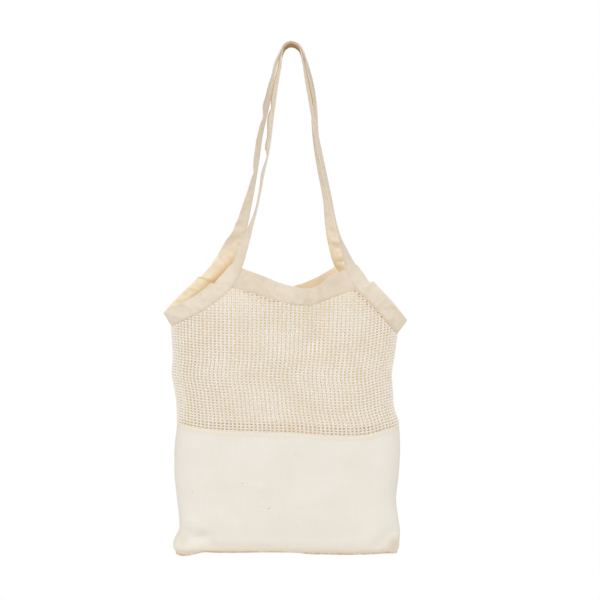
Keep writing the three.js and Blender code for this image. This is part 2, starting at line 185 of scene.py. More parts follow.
# %% Rows of the two strips
# x, y, z of the sewn edge, then lean, turn and cup in degrees; a row without y lies on the bag
NO_Y = math.nan
STRIP_FRONT = [
    (-177.8, NO_Y, -423, 122, 4, 0), (-132, NO_Y, -401.6, 121, 14, 0),
    (-103.4, NO_Y, -382.5, 126, 16, 0), (-85.5, NO_Y, -365.8, 138, 22, 0),
    (-70, NO_Y, -337.5, 162, 48, 0), (-62.6, -38.5, -314.4, 166, 54, 6),
    (-55.4, -39, -285.3, 168, 67, 12), (-46, -39, -246, 168, 82, 16),
    (-37.0, -37.5, -200, 170, 80, 20), (-28.4, -35.5, -158, 172, 82, 20),
    (-22.8, -32.5, -112, 172, 73, 20), (-17.3, -28, -70, 170, 74, 20),
    (-12.3, -21, -36, 168, 80, 18),
    (-11.6, -12, -14.7, 150, 88, 16), (-6.9, -12, -5.7, 120, 88, 16),
    (1.3, -12, -1.8, 90, 88, 16),
    (9.9, -12, -4.7, 60, 88, 16), (15.9, -12, -12, 30, 88, 16),
    (18.7, -20, -34, 12, 84, 18), (22.9, -27, -64, 10, 79, 20),
    (29.4, -32, -104, 8, 77, 20), (37, -35, -145, 8, 76, 20),
    (45.5, -37, -186, 10, 76, 20), (55.5, -38.5, -230, 14, 78, 16),
    (66.5, -39, -273, 18, 84, 10), (74, -38, -308.5, 18, 70, 5),
    (82.6, NO_Y, -339, 20, 44, 0), (98.1, NO_Y, -368, 40, 26, 0),
    (115.5, NO_Y, -385, 45, 14, 0), (132, NO_Y, -403.5, 47, 0, 0),
    (160.5, NO_Y, -435, 53, 0, 0),
]
STRIP_BACK = [
    (-177.8, NO_Y, -423, 122, 0, 0), (-145, NO_Y, -390, 137, 6, 0),
    (-125, NO_Y, -371, 136, 10, 0), (-106, NO_Y, -352, 140, 8, 0),
    (-90, NO_Y, -329, 146, 8, 0), (-79, 37, -306, 154, 26, 5),
    (-68, 39, -279, 164, 48, 8), (-60.5, 39, -242, 168, 63, 12),
    (-53.5, 38, -205, 170, 76, 16), (-47.6, 36, -168, 170, 78, 18),
    (-41.6, 33.5, -128, 170, 79, 20), (-31.2, 28.5, -84, 168, 75, 20),
    (-22.0, 21, -37, 168, 82, 18),
    (-14.7, 13, -13.4, 150, 92, 16), (-9.2, 13, -3.1, 120, 92, 16),
    (1, 13, 1.7, 90, 92, 16),
    (11.8, 13, -1.7, 60, 92, 16), (18.8, 13, -10.2, 30, 92, 16),
    (24, 20, -34, 12, 82, 18), (30.5, 27.5, -64, 10, 78, 20),
    (32, 31, -98, 10, 70, 20), (35, 34.5, -140, 10, 71, 20),
    (41.5, 37, -182, 10, 70, 20), (50.5, 38.5, -230, 12, 64, 18),
    (54, 39, -272, 14, 52, 12), (60, 39, -306, 16, 40, 5),
    (68.4, NO_Y, -333, 22, 26, 0), (83, NO_Y, -359, 38, 18, 0),
    (106, NO_Y, -383, 44, 14, 0), (131, NO_Y, -407, 47, 6, 0),
    (160.5, NO_Y, -435, 53, 0, 0),
]
print("rows of the strips:", len(STRIP_FRONT), "and", len(STRIP_BACK))

# %% Curves of a strip, and landmarks along it
STRIP_WIDTH, BAND_WALL = 26, 2.0
LEFT_FOOT, LEFT_HEAD, RIGHT_HEAD, RIGHT_FOOT, LAST_ROW = 3, 4, 26, 27, 30


def strip_of(side, table):
    rows = np.array(table)
    places = rows[:, :3].copy()
    on_bag = np.isnan(places[:, 1])
    x, z = places[on_bag, 0], places[on_bag, 2]
    places[on_bag] = wall_place(side, across_at(x, z), z)
    edge, swing = (smooth_reader(np.arange(len(rows)), part) for part in (places, rows[:, 3:]))
    return {"side": side, "edge": edge, "swing": swing}


strips = {FRONT: strip_of(FRONT, STRIP_FRONT), BACK: strip_of(BACK, STRIP_BACK)}
print("top of the front sewn edge in mm:", strips[FRONT]["edge"](np.array(LAST_ROW / 2)).round(1))

# %% [markdown]
# ## Pleats, crumples and twists of the strips
# Where a band turns upward into its handle, the cloth at the outer edge is too long, so it tucks
# into a pleat: a lip on the side of the band, a dip behind it and a notch in the outline. The
# hanging handles also twist a little, so that they look wider and narrower along their length. A
# cloth simulation could find such tucks but would put them anywhere, so short tables place them.

# %% Tables of the tucks and twists
# row at the sewn edge, rows on to the free edge, way to the side seam, rise, flare, notch
PLEATS = {
    FRONT: [(0.0, 0.0, -1, 0.0, 0.0, 0.12), (3.0, -0.8, -1, 2.6, 0.07, 0.12),
            (25.95, 0.0, 1, 0.0, 0.02, 0.16), (27.0, 0.3, 1, 3.0, 0.14, 0.12)],
    BACK: [(0.0, 0.0, -1, 0.0, 0.0, 0.12), (2.75, -0.5, 1, -3.4, -0.07, -0.07),
           (27.6, 0.4, 1, 1.6, 0.06, 0.08)],
}
# row, rows on to the free edge, reach in rows, height
CRUMPLES = {
    FRONT: [(0.95, -0.35, 0.09, 1.3), (1.45, -0.5, 0.12, -1.2), (1.8, -0.3, 0.25, 0.9),
            (5.0, 0.3, 0.35, 0.7), (25.3, -0.3, 0.3, 0.8), (27.9, 0.35, 0.2, 0.9),
            (28.5, -0.3, 0.2, -1.0)],
    BACK: [(0.7, -0.4, 0.09, -1.6), (1.3, -0.5, 0.12, 1.8), (1.8, -0.4, 0.10, -1.4),
           (3.6, 0.3, 0.14, 1.4), (24.15, 0.2, 0.16, 2.2), (24.55, 0.25, 0.13, -3.4),
           (24.95, 0.2, 0.15, 3.6), (25.4, 0.25, 0.13, -3.2), (25.75, 0.2, 0.12, 2.8),
           (6.05, 0.12, 0.12, 2.4), (5.2, 0.3, 0.3, -0.8)],
}
# row, reach in rows, more turn in degrees
TWISTS = {
    FRONT: [(8.05, 0.25, -3), (8.62, 0.16, 5), (9.05, 0.28, -8), (9.85, 0.35, -4), (10.3, 0.16, 7)],
    BACK: [(8.35, 0.16, 5), (9.0, 0.3, -3), (9.55, 0.35, -4), (10.45, 0.16, 7), (10.85, 0.16, -3),
           (11.75, 0.25, 4)],
}
for kind, table in (("pleats", PLEATS), ("crumples", CRUMPLES), ("twists", TWISTS)):
    print(kind, "at the front and the back:", [len(table[side]) for side in SIDES])

# %% Reading the tucks and twists
PLEAT_EDGE, PLEAT_RUN, PLEAT_DIP = 0.03, 0.28, 0.4
FAR_OFF = 60


def twist(side, row):
    """More turn of the strip, in radians."""
    return sum(math.radians(more) * np.exp(-(((row - at) / reach) ** 2))
               for at, reach, more in TWISTS[side])


def tucks(side, row, share):
    """How far the strip rises from its plain shape, and how much wider it is."""
    rise, widen = np.zeros(row.shape), np.ones(row.shape)
    for at, skew, way, height, flare, notch in PLEATS[side]:
        off = (row - at - skew * share) * way
        lip = 1 / (1 + np.exp(np.clip(-off / PLEAT_EDGE, -FAR_OFF, FAR_OFF)))
        fade = np.exp(-np.abs(off) / PLEAT_RUN)
        rise += share * height * fade * (lip - PLEAT_DIP * (1 - lip))
        widen += share**2 * fade * (flare * lip - notch * (1 - lip))
    for at, skew, reach, height in CRUMPLES[side]:
        rise += height * share * np.exp(-(((row - at - skew * share) / reach) ** 2))
    return rise, widen


print(f"a twist adds up to {np.degrees(np.abs(twist(FRONT, np.arange(8, 12, 0.1))).max()):.0f} degrees")

# %% The sewn edge of a strip
SEWN_SLIT = 0.3
STRIP_LIFT = BAND_WALL / 2 + SEWN_SLIT / 2
OVERLAP_ROWS, OVERLAP_REACH, OVERLAP_LIFT = (3.5, 26.5), 0.9, 0.9


def strip_edge(strip, row):
    """The sewn edge. It lies on the bag up to the hem's head, and eases off it above."""
    place = strip["edge"](row)
    wall = wall_place(strip["side"], across_at(place[..., 0], place[..., 2]), place[..., 2])
    beyond = np.minimum(row - LEFT_HEAD, RIGHT_HEAD - row)
    place = np.where((beyond <= 0)[..., None], wall, place)
    from_hem = np.minimum(*(np.abs(row - at) for at in OVERLAP_ROWS))
    over_hem = np.exp(-(from_hem / OVERLAP_REACH) ** 4)
    lift = STRIP_LIFT * np.clip(1 - beyond, 0, 1) + OVERLAP_LIFT * over_hem
    place[..., 1] += strip["side"] * lift
    return place


print("the front strip starts at, in mm:", strip_edge(strips[FRONT], np.array(0.0)).round(1))

# %% Places on a strip
FLAT_CUP, TINY = 0.01, 0.003


def unit(vectors):
    return vectors / np.maximum(np.linalg.norm(vectors, axis=-1, keepdims=True), 1e-12)


def strip_place(strip, row, share):
    """Places on the middle layer: share runs from the sewn edge to the free one."""
    side = strip["side"]
    row, share = np.broadcast_arrays(np.asarray(row, float), np.asarray(share, float))
    lean, turn, cup = np.moveaxis(np.radians(strip["swing"](row)), -1, 0)
    turn = turn + twist(side, row)
    tangent = strip["edge"](row + TINY) - strip["edge"](row - TINY)
    across = np.stack([np.cos(turn) * np.cos(lean), -side * np.sin(turn),
                       np.cos(turn) * np.sin(lean)], -1)
    out = -side * unit(np.cross(tangent, across))
    half = np.maximum(cup, FLAT_CUP) / 2
    radius = STRIP_WIDTH / (2 * half)
    angle = half * (2 * share - 1)
    rise, widen = tucks(side, row, share)
    reach = radius * (np.sin(half) + np.sin(angle)) * widen
    rise = rise + radius * (np.cos(angle) - np.cos(half))
    return strip_edge(strip, row) + across * reach[..., None] + out * rise[..., None]


print("middle of the front handle in mm:", strip_place(strips[FRONT], LAST_ROW / 2, 0.5).round(1))

# %% Places on a hem
# x and z of the lower edge, x and z of the upper edge
HEM_FRONT = [(-50.4, -375.3, -40.2, -348.4), (-6.8, -388.4, -6.8, -361.5),
             (31, -392, 31, -366.6), (65.8, -379.6, 58.6, -349.9)]
HEM_BACK = [(-62, -378, -54, -352), (-13, -391, -12, -365), (38, -379, 32, -353)]


def hem_of(strip, table):
    """A hem between a strip's two legs."""
    foot = strip_edge(strip, np.array([LEFT_FOOT, RIGHT_FOOT], float))[:, [0, 2]]
    head = strip_edge(strip, np.array([LEFT_HEAD, RIGHT_HEAD], float))[:, [0, 2]]
    table = np.array(table)
    shares = np.linspace(0, 1, len(table) + 2)
    low = smooth_reader(shares, np.concatenate([foot[:1], table[:, :2], foot[1:]]))
    top = smooth_reader(shares, np.concatenate([head[:1], table[:, 2:], head[1:]]))
    return {"strip": strip, "foot": foot, "head": head, "low": low, "top": top}


def hem_place(hem, share, up):
    strip = hem["strip"]
    share, up = np.broadcast_arrays(np.asarray(share, float), np.asarray(up, float))
    left = strip_edge(strip, LEFT_FOOT + (LEFT_HEAD - LEFT_FOOT) * up)[..., [0, 2]]
    right = strip_edge(strip, RIGHT_FOOT + (RIGHT_HEAD - RIGHT_FOOT) * up)[..., [0, 2]]
    s, u = share[..., None], up[..., None]
    place = left * (1 - s) + right * s + hem["low"](share) * (1 - u) + hem["top"](share) * u
    place -= (hem["foot"][0] * (1 - s) + hem["foot"][1] * s) * (1 - u)
    place -= (hem["head"][0] * (1 - s) + hem["head"][1] * s) * u
    x, z = place[..., 0], place[..., 1]
    return wall_place(strip["side"], across_at(x, z), z)


hem_shapes = {FRONT: hem_of(strips[FRONT], HEM_FRONT), BACK: hem_of(strips[BACK], HEM_BACK)}
for side, hem in hem_shapes.items():
    print(f"the {SIDES[side]} hem spans {hem['foot'][1, 0] - hem['foot'][0, 0]:.0f} mm")

# %% [markdown]
# ## Cloth finishes
# The real bag is undyed cotton in three forms: a smooth canvas, a creamier plain cloth for the bands
# and a thick soft yarn for the net. A flat colour would look like plastic. Cloth shows a grain of
# threads, thicker slubs along them, slow clouds of colour and, in unbleached canvas, small seed
# flecks. All of these are drawn by nodes, in real millimetres on each piece's own cloth coordinates.

# %% Helpers for the node trees
def linear(hex_colour):
    """An sRGB hex value as the linear colour that a shader takes."""
    values = [int(hex_colour[i:i + 2], 16) / 255 for i in (1, 3, 5)]
    return [v / 12.92 if v <= 0.04045 else ((v + 0.055) / 1.055) ** 2.4 for v in values] + [1.0]


def fill(node, inputs):
    """Sets inputs of a node. Each is another node, a socket, a hex colour or a plain value."""
    for key, value in inputs.items():
        if isinstance(value, bpy.types.Node):
            value = next(socket for socket in value.outputs if socket.enabled)
        if isinstance(value, bpy.types.NodeSocket):
            node.id_data.links.new(value, node.inputs[key])
        else:
            is_hex = str(value).startswith("#")
            node.inputs[key].default_value = linear(value) if is_hex else value


def add(tree, kind, *inputs, **named):
    """Adds a node. Names in small letters are its settings, and all else its inputs."""
    node = tree.nodes.new(kind)
    for name in [name for name in named if name.islower()]:
        setattr(node, name, named.pop(name))
    fill(node, dict(enumerate(inputs)) | named)
    return node


print("a middle grey in linear light:", round(linear("#808080")[0], 3))

# %% A matt material
# No shine, and a faint sheen at the rim, make a surface look soft.
SPECULAR, SHEEN_ROUGHNESS = 0.2, 0.5


def new_material(name, roughness, sheen):
    """A material, its shader, and a function that adds nodes to it."""
    material = bpy.data.materials.new(name)
    material.use_nodes = True
    shader = material.node_tree.nodes["Principled BSDF"]
    fill(shader, {"Roughness": roughness, "Specular IOR Level": SPECULAR,
                  "Sheen Weight": sheen, "Sheen Roughness": SHEEN_ROUGHNESS})
    return material, shader, partial(add, material.node_tree)


# %% The inside of the bag, where painted shade makes cotton deeper and warmer
# Heights are in metres. A face looks in where its normal points against its side of the bag.
MATH, RANGE, MIX = "ShaderNodeMath", "ShaderNodeMapRange", "ShaderNodeMix"
NOISE, XYZ, VECTORS = "ShaderNodeTexNoise", "ShaderNodeSeparateXYZ", "ShaderNodeVectorMath"
COORDINATES = "ShaderNodeTexCoord"
INSIDE_REACH, LOOP_MIDDLE = 8 * MM, 8 * MM
MOUTH_HEIGHTS, ARCH_HEIGHTS, LOOKS_IN = (-0.33, -0.27), (-0.05, -0.015), (0.2, -0.4)


def inner_share(put):
    """1 on faces that look to the middle of the bag, 1 on those that look to the middle of the
    handles' loop, and the place and facing that they come from."""
    place = put(XYZ, put(COORDINATES).outputs["Object"]).outputs
    facing = put(XYZ, put("ShaderNodeNewGeometry").outputs["Normal"]).outputs
    away = {}
    for axis, middle in (("Y", 0.0), ("X", LOOP_MIDDLE)):
        half = put(RANGE, place[axis], middle - INSIDE_REACH, middle + INSIDE_REACH, -1.0, 1.0)
        away[axis] = put(MATH, half, facing[axis], operation="MULTIPLY")
    arch = put(RANGE, place["Z"], *ARCH_HEIGHTS)
    away["X"] = put(MATH, facing["Z"], arch, away["X"], operation="MULTIPLY_ADD")
    shares = []
    for axis, heights in (("Y", MOUTH_HEIGHTS[::-1]), ("X", MOUTH_HEIGHTS)):
        looks_in, part = put(RANGE, away[axis], *LOOKS_IN), put(RANGE, place["Z"], *heights)
        shares.append(put(MATH, looks_in, part, operation="MULTIPLY"))
    return *shares, place, facing


# %% A plain woven cotton
# Its threads and slubs give the eye a fine, slightly uneven grain without any shine.
# A painted glow on its inner faces stands for light that comes through the thin cloth, and painted
# shade gives faces inside the bag a deeper, warmer colour.
CLOTH_UV = "cloth"
SLUB_WIDE_MM, SLUB_LONG_MM, WRINKLE_MM = 10 / 9, 500 / 11, 17
LOOP_GLOW, TOP_GLOW, GLOW_HEIGHTS, GLOW_COLOUR = 0.14, 0.09, (-0.22, -0.12), "#e4d8c4"


def woven_cotton(name, light, shade, inner, bag_glow, thread_mm, cloud_mm, wrinkle):
    """Plain weave: threads over and under, slubs both ways, slow clouds of colour, soft wrinkles."""
    material, shader, put = new_material(name, 0.92, 0.12)
    uv = put("ShaderNodeUVMap", uv_map=CLOTH_UV)
    phase = put(VECTORS, uv, Scale=math.pi / (thread_mm * MM), operation="SCALE")
    phase = put(XYZ, phase).outputs
    threads = [put(MATH, phase[axis], operation="SINE") for axis in "XY"]
    weave = put(MATH, *threads, operation="MULTIPLY")
    slubs = []
    for wide, tall in ((SLUB_WIDE_MM, SLUB_LONG_MM), (SLUB_LONG_MM, SLUB_WIDE_MM)):
        stretched = put(VECTORS, uv, (1 / (wide * MM), 1 / (tall * MM), 1), operation="MULTIPLY")
        slubs.append(put(NOISE, Vector=stretched, Scale=1.0, Detail=2.0))
    slub = put(MATH, *slubs, operation="ADD")
    cloud = put(NOISE, Vector=uv, Scale=1 / (cloud_mm * MM), Detail=3.0)
    tone = put(MATH, slub, 0.5, cloud, operation="MULTIPLY_ADD")
    tone = put(RANGE, tone, 0.65, 1.35)
    colour = put(MIX, Factor=tone, A=light, B=shade, data_type="RGBA")
    in_bag, in_loop, place, facing = inner_share(put)
    # painted shade: faces that look into the bag take the deeper, warmer inner colour
    colour = put(MIX, Factor=in_bag, A=colour, B=inner, data_type="RGBA")
    up = put(RANGE, place["Z"], *GLOW_HEIGHTS, LOOP_GLOW, TOP_GLOW)
    through = put(MATH, in_loop, up, operation="MULTIPLY")
    through = put(MATH, in_bag, bag_glow, through, operation="MULTIPLY_ADD")
    creases = put(NOISE, Vector=uv, Scale=1 / (WRINKLE_MM * MM), Detail=1.0)
    height = put(MATH, weave, 0.5, slub, operation="MULTIPLY_ADD")
    height = put(MATH, creases, wrinkle, height, operation="MULTIPLY_ADD")
    bump = put("ShaderNodeBump", Strength=0.35, Distance=0.25 * MM, Height=height)
    fill(shader, {"Normal": bump, "Emission Color": GLOW_COLOUR, "Emission Strength": through})
    return SimpleNamespace(material=material, shader=shader, put=put, uv=uv, colour=colour, place=place,
                           facing=facing, in_bag=in_bag, in_loop=in_loop, through=through)


def tinted(cloth, tints):
    """Lays tints over a cloth's colour. The share of each is the product of what follows it."""
    put, colour = cloth.put, cloth.colour
    for tint, share, *others in tints:
        for other in others:
            share = put(MATH, share, other, operation="MULTIPLY")
        colour = put(MIX, Factor=share, A=colour, B=tint, data_type="RGBA")
    fill(cloth.shader, {"Base Color": colour})
    return cloth.material


# %% The canvas cloth
# A pale, warm white with a fine grain. Canvas threads are about 0.6 mm apart. They are drawn at
# 1.1 mm, so that the grain shows in the render. Seed flecks lie some 20 mm apart. The edge that is
# turned in along the net shows through as a slightly warmer band. Painted shade makes the cloth
# warmer just above the fold at the base, a thin tan line of dashes along the fold is a painted
# shadow, and painted shade also lies on the two lower corners.
FLECK_MM, FLECK_SIZE, DASH_MM = 19, 0.055, 14
# in metres on the cloth, from the seam with the net
TURNED_BAND, BASE_FOLD, BASE_BAND, BASE_EDGE = (-0.009, -0.005), -0.176, 0.022, 0.0025
# place in metres, how strongly painted shade darkens it
SHADED_CORNERS = [((-0.156, 0, -0.731), 0.35), ((0.152, 0, -0.737), 0.55)]
CORNER_REACH = (0.013, 0.003)


def make_canvas_cotton():
    cloth = woven_cotton("natural cotton canvas", "#ebe7dd", "#e4dfd3", "#e8d7b5",
                         bag_glow=0.12, thread_mm=1.1, cloud_mm=70, wrinkle=0)
    put, uv = cloth.put, cloth.uv
    spots = put("ShaderNodeTexVoronoi", Vector=uv, Scale=1 / (FLECK_MM * MM), Randomness=1.0).outputs
    pick = put("ShaderNodeSeparateColor", spots["Color"])
    size = put(RANGE, pick, 0.6, 1.0, 0.0, FLECK_SIZE)
    below = put(XYZ, uv).outputs["Y"]
    dashes = put(NOISE, Vector=uv, Scale=1 / (DASH_MM * MM), Detail=2.0)
    tints = [
        ("#b9ab93", put(MATH, spots["Distance"], size, operation="LESS_THAN")),
        ("#e6d4b6", put(RANGE, below, *TURNED_BAND, 0.0, 0.3)),
        # painted shade: warmer cloth just above the base fold
        ("#e2d2ba", put(RANGE, below, BASE_FOLD + BASE_BAND, BASE_FOLD, 0.0, 0.4)),
        # painted shadow: a dashed tan line along the base fold
        ("#c99f66", put(RANGE, below, BASE_FOLD + BASE_EDGE, BASE_FOLD),
         put(RANGE, dashes, 0.35, 0.6, 0.0, 0.75)),
    ]
    at = put(VECTORS, put(COORDINATES).outputs["Object"], (1, 0, 1), operation="MULTIPLY")
    # painted shade on the two lower corners
    for corner, share in SHADED_CORNERS:
        off = put(VECTORS, at, corner, operation="DISTANCE")
        tints.append(("#d3c6ae", put(RANGE, off, *CORNER_REACH, 0.0, share)))
    return tinted(cloth, tints)


canvas_cotton = make_canvas_cotton()
print("finish:", canvas_cotton.name)

# %% The band cloth
# A creamier, soft cloth. Painted shade darkens the underside of the loop to tan. Inside the bag painted
# shade makes the cloth deeper in tone towards its sewn edge and the hems a little deeper at their ends,
# and the handles are a little greyer than the bands. Threads 0.6 mm apart are drawn at 0.9 mm, so that
# they show. Where the two handles lie on each other, a painted glow stands for light that comes down
# between them through the upper one.
# Cloth coordinates of the back band start here along the cloth, so that no two bands are alike.
BACK_CLOTH = 1500
NEAR_HEIGHTS, NEAR_GLOW = (-0.10, -0.018), 0.42


def make_band_cotton():
    cloth = woven_cotton("natural cotton band cloth", "#e5dac7", "#e0d3be", "#e6d9c0",
                         bag_glow=0.10, thread_mm=0.9, cloud_mm=45, wrinkle=75)
    put, height = cloth.put, cloth.place["Z"]
    along, wide, _ = put(XYZ, cloth.uv).outputs
    upper = put(MATH, along, (BACK_CLOTH - 1) * MM, operation="GREATER_THAN")
    nearness = put(RANGE, height, *NEAR_HEIGHTS)
    between = put(MATH, upper, cloth.in_loop, operation="MULTIPLY")
    between = put(MATH, between, nearness, operation="MULTIPLY")
    more = put(MATH, nearness, NEAR_GLOW, operation="MULTIPLY")
    # painted light: a glow where the two handles lie on each other
    fill(cloth.shader, {
        "Emission Color": put(MIX, Factor=between, A=GLOW_COLOUR, B="#c8cecb", data_type="RGBA"),
        "Emission Strength": put(MATH, between, more, cloth.through, operation="MULTIPLY_ADD")})
    from_sewn = put(MATH, wide, STRIP_WIDTH * MM, operation="PINGPONG")
    from_sewn = put(RANGE, from_sewn, 0.017, 0.004)
    aside = put(MATH, cloth.place["X"], operation="ABSOLUTE")
    low = put(MATH, from_sewn, put(RANGE, aside, 0.08, 0.06, 0.0, 0.28), operation="MAXIMUM")
    return tinted(cloth, [
        # painted shade inside the bag, deeper towards the sewn edge
        ("#cba76c", cloth.in_bag, low, put(RANGE, height, -0.305, -0.345)),
        # painted shade at the ends of the hems
        ("#d6c6ab", put(RANGE, aside, 0.015, 0.045), put(RANGE, aside, 0.085, 0.07),
         put(RANGE, height, -0.30, -0.33, 0.0, 0.4)),
        ("#d6ccbf", put(RANGE, height, -0.30, -0.20, 0.0, 0.4)),
        # painted shade: the underside of the loop, where faces look down
        ("#b08746", put(RANGE, cloth.facing["Z"], -0.2, -0.7), put(RANGE, height, -0.03, -0.014)),
    ])


band_cotton = make_band_cotton()
print("finish:", band_cotton.name)

# %% A soft twisted yarn
# Loose fibres make a yarn matt and soft. A painted glow on the sides of the yarn stands for light
# that comes through them. The net yarn is nearly white; inside the bag painted shade makes it warmer
# and a painted glow lights it. The sewing thread shows as a fine line, a little darker than the
# cloth, and the tan thread as a golden one.
YARN_GLOW, FLANK_GLOW, YARN_CLOUD_MM = 0.30, 0.28, 25


def cotton_yarn(name, light, shade, inner, through, twist_mm):
    """Yarn: its twist as small bumps, and a slow change of colour from thread to thread."""
    material, shader, put = new_material(name, 0.95, 0.15)
    at = put(COORDINATES).outputs["Object"]
    cloud = put(NOISE, Vector=at, Scale=1 / (YARN_CLOUD_MM * MM), Detail=3.0)
    fibres = put(NOISE, Vector=at, Scale=1 / (twist_mm * MM), Detail=2.0)
    tone = put(MATH, fibres, 0.6, cloud, operation="MULTIPLY_ADD")
    tone = put(RANGE, tone, 0.5, 1.1)
    colour = put(MIX, Factor=tone, A=light, B=shade, data_type="RGBA")
    in_bag, _, place, facing = inner_share(put)
    aside, square = (put(MATH, part, operation="ABSOLUTE") for part in (place["X"], facing["Y"]))
    # painted light: a glow on faces inside the bag, and on the flanks of the cords
    inside = in_bag
    for factor in (put(RANGE, place["Z"], -0.40, -0.57, 0.8, 1.1),
                   put(RANGE, aside, 0.09, 0.16, 1.0, 0.7), YARN_GLOW):
        inside = put(MATH, inside, factor, operation="MULTIPLY")
    flank = put(RANGE, square, 0.9, 0.4, 0.0, FLANK_GLOW)
    fill(shader, {
        # painted shade: faces inside the bag take the warmer inner colour
        "Base Color": put(MIX, Factor=in_bag, A=colour, B=inner, data_type="RGBA"),
        "Normal": put("ShaderNodeBump", Strength=0.25, Distance=0.25 * MM, Height=fibres),
        "Emission Color": through,
        "Emission Strength": put(MATH, flank, inside, operation="MAXIMUM")})
    return material


net_yarn = cotton_yarn("natural cotton net yarn", "#e5e1d8", "#dfd8cc", "#dac9a2", "#e9dec8", 1.2)
sewing_thread = cotton_yarn("cotton sewing thread", "#d9bf94", "#cdb083", "#cdb083", "#d9bf94", 0.6)
tan_thread = cotton_yarn("tan cotton thread", "#c79b3e", "#b48932", "#b48932", "#c79b3e", 0.6)
print("yarn finishes:", [yarn.name for yarn in (net_yarn, sewing_thread, tan_thread)])

# %% [markdown]
# ## Canvas
# One piece of canvas runs down the front, under the base and up the back, sewn along both sides.
# It could be a cloth simulation of a filled bag, but the photograph shows a nearly smooth, hanging
# shape with a few known folds, so the wall is laid out as a fine grid and then moved by small folds
# and slow waves. A Solidify modifier gives the grid its cloth thickness at the end.

# %% Mesh helpers
def show(name, data):
    """An object in the scene, at the origin."""
    piece = bpy.data.objects.new(name, data)
    bpy.context.scene.collection.objects.link(piece)
    return piece


def new_object(name, places, faces, uvs, material):
    """A smooth mesh from places in mm, with cloth coordinates in mm for each corner."""
    mesh = bpy.data.meshes.new(name)
    mesh.from_pydata((np.asarray(places) * MM).tolist(), [], [list(map(int, face)) for face in faces])
    mesh.uv_layers.new(name=CLOTH_UV).data.foreach_set("uv", (np.asarray(uvs) * MM).ravel())
    mesh.materials.append(material)
    mesh.shade_smooth()
    return show(name, mesh)


def rework(mesh, change):
    """Changes a mesh through bmesh."""
    work = bmesh.new()
    work.from_mesh(mesh)
    change(work)
    work.to_mesh(mesh)
    work.free()


def make_plain(piece):
    """Turns a piece and its modifiers into a plain mesh."""
    bpy.context.view_layer.update()
    shown = piece.evaluated_get(bpy.context.evaluated_depsgraph_get())
    mesh = bpy.data.meshes.new_from_object(shown)
    piece.modifiers.clear()
    piece.data = mesh
    mesh.name = piece.name
    return piece


def triangles(piece):
    piece.data.calc_loop_triangles()
    return len(piece.data.loop_triangles)


# %% Small folds and slow waves of the canvas
CANVAS_FOLDS = [
    (FRONT, -156, -738, -127, -726, 8, -2.2),
    (FRONT, -146, -748, -108, -730, 8, 1.4),
    (FRONT, -137, -696, -138, -680, 10, -1.4),
    (FRONT, 146, -752, 162, -746, 15, -5.0),
    (FRONT, 118, -590, 128, -640, 14, -1.4),
    (FRONT, -120, -640, -40, -655, 16, 0.9),
    (FRONT, -60, -610, -20, -690, 22, 0.9),
    (FRONT, 40, -620, 90, -600, 18, 0.9),
    (BACK, -120, -600, -60, -690, 22, -1.6),
    (BACK, 60, -610, 110, -700, 20, 1.4),
    (BACK, -150, -735, -120, -725, 11, -3.0),
    (BACK, 145, -738, 120, -728, 12, -3.0),
]
# length and height of a wave
WAVES = [(62, 0.9), (27, 0.35)]


def canvas_waves(places):
    waves = np.zeros(len(places))
    for size, height in WAVES:
        waves += [height * noise.noise(Vector(place) / size) for place in places.tolist()]
    return waves


print(len(CANVAS_FOLDS), "small folds")

# %% The line of the base, and the size of the canvas grid
# place across, height of the base there
base_z = line_reader([(-1, -754.8), (-0.94, -756.2), (-0.85, -754.6), (-0.73, -749.9), (-0.64, -750.5),
                      (0.06, -750.6), (0.22, -753.4), (0.32, -753.6), (0.6, -754.2), (0.78, -753.2),
                      (0.9, -753.2), (0.96, -754), (1, -754)])
CANVAS_COLUMNS, CANVAS_ROWS, BASE_ROWS = 120, 64, 8
CANVAS_WALL, WALL_CURVE = 1.2, 1.4
TURNED_EDGE, TURNED_RISE, TURNED_STEP, SIDE_FADE = 7, 0.5, 0.5, 0.03
print("the base line runs from", base_z(-1), "to", base_z(1), "mm")

# %% One side of the canvas
def canvas_side(side):
    """Places from the middle line of the base up to the seam, and cloth coordinates, 0 at the seam."""
    shares = np.linspace(0, 1, CANVAS_COLUMNS + 1)
    across = evenly(shares)[:, None]
    base = np.linspace(0, 1, BASE_ROWS, endpoint=False)
    up = np.linspace(0, 1, CANVAS_ROWS + 1) ** WALL_CURVE
    low, high = base_z(across), seam_z(across) - SEWN_SLIT / 2
    heights = np.concatenate([np.repeat(low, BASE_ROWS, 1), low + (high - low) * up], 1)
    places = wall_place(side, across, heights)
    x, z = places[..., 0], places[..., 2]
    waves = canvas_waves(places.reshape(-1, 3)).reshape(x.shape)
    turned = TURNED_RISE / (1 + np.exp((high - z - TURNED_EDGE) / TURNED_STEP))
    inside = np.clip((1 - np.abs(across)) / SIDE_FADE, 0, 1)
    places[..., 1] += side * (fold_height(CANVAS_FOLDS, side, x, z) + waves + turned) * inside
    places[..., 1] *= np.concatenate([base, np.ones(CANVAS_ROWS + 1)])
    along = gone_along(places[CANVAS_COLUMNS // 2])
    offset = 0 if side == FRONT else PANEL_WIDTH
    around = offset - side * shares[:, None] * PANEL_WIDTH
    return places, np.stack(np.broadcast_arrays(around, along - along[-1]), -1)


def cell_corners(columns, rows):
    """Column and row of the four corners of every cell in a grid."""
    i, j = (grid.ravel() for grid in np.meshgrid(np.arange(columns), np.arange(rows), indexing="ij"))
    return [(i, j), (i + 1, j), (i + 1, j + 1), (i, j + 1)]


# %% Make the canvas
MERGE = 0.05


